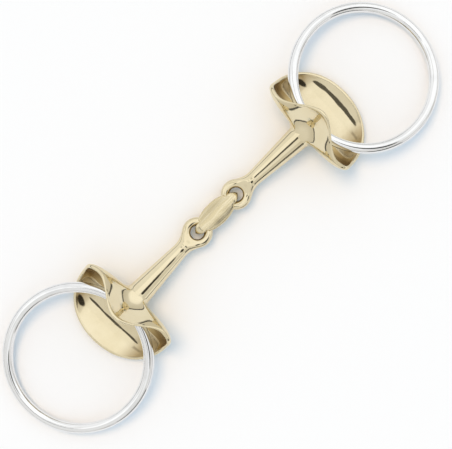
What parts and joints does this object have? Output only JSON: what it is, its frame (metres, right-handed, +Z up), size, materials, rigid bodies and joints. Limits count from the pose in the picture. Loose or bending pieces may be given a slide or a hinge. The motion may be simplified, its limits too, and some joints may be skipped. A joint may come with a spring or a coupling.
{
  "type": "loose ring snaffle bit",
  "caption": "Double-jointed loose ring snaffle bit: an oval centre link, tapered arms ending in saddle-shaped lip shields, and round rings that swing in tunnels in the shields.",
  "frame": {"origin": "on the surface the bit lies on, at the middle of its length and midway between the outermost sides of the rings", "axes": "+X along the mouthpiece towards the right ring, +Y across it, +Z up from the surface"},
  "size_m": [0.2868, 0.08, 0.0316],
  "materials": {
    "gold_alloy": "mirror-polished pale gold copper alloy",
    "ring_steel": "mirror-polished stainless steel"
  },
  "bodies": {
    "link": {"centre_link": "gold_alloy"},
    "left_arm": {"left_arm": "gold_alloy"},
    "right_arm": {"right_arm": "gold_alloy"},
    "left_ring": {"left_ring": "ring_steel"},
    "right_ring": {"right_ring": "ring_steel"}
  },
  "joints": [
    {"name": "left_arm_fold", "type": "hinge", "parent": "link", "child": "left_arm", "pos_m": [-0.0086, 0.00332, 0.0052], "axis": [0, 1, 0], "range_deg": [-60, 42]},
    {"name": "right_arm_fold", "type": "hinge", "parent": "link", "child": "right_arm", "pos_m": [0.0086, 0.00332, 0.0052], "axis": [0, -1, 0], "range_deg": [-60, 42]},
    {"name": "left_ring_swing", "type": "hinge", "parent": "left_arm", "child": "left_ring", "pos_m": [-0.06736, 0.00127, 0.01451], "axis": [-0.0349, 0.9994, 0], "range_deg": [-2, 90]},
    {"name": "right_ring_swing", "type": "hinge", "parent": "right_arm", "child": "right_ring", "pos_m": [0.06736, 0.00127, 0.01451], "axis": [-0.0349, -0.9994, 0], "range_deg": [-2, 90]}
  ]
}
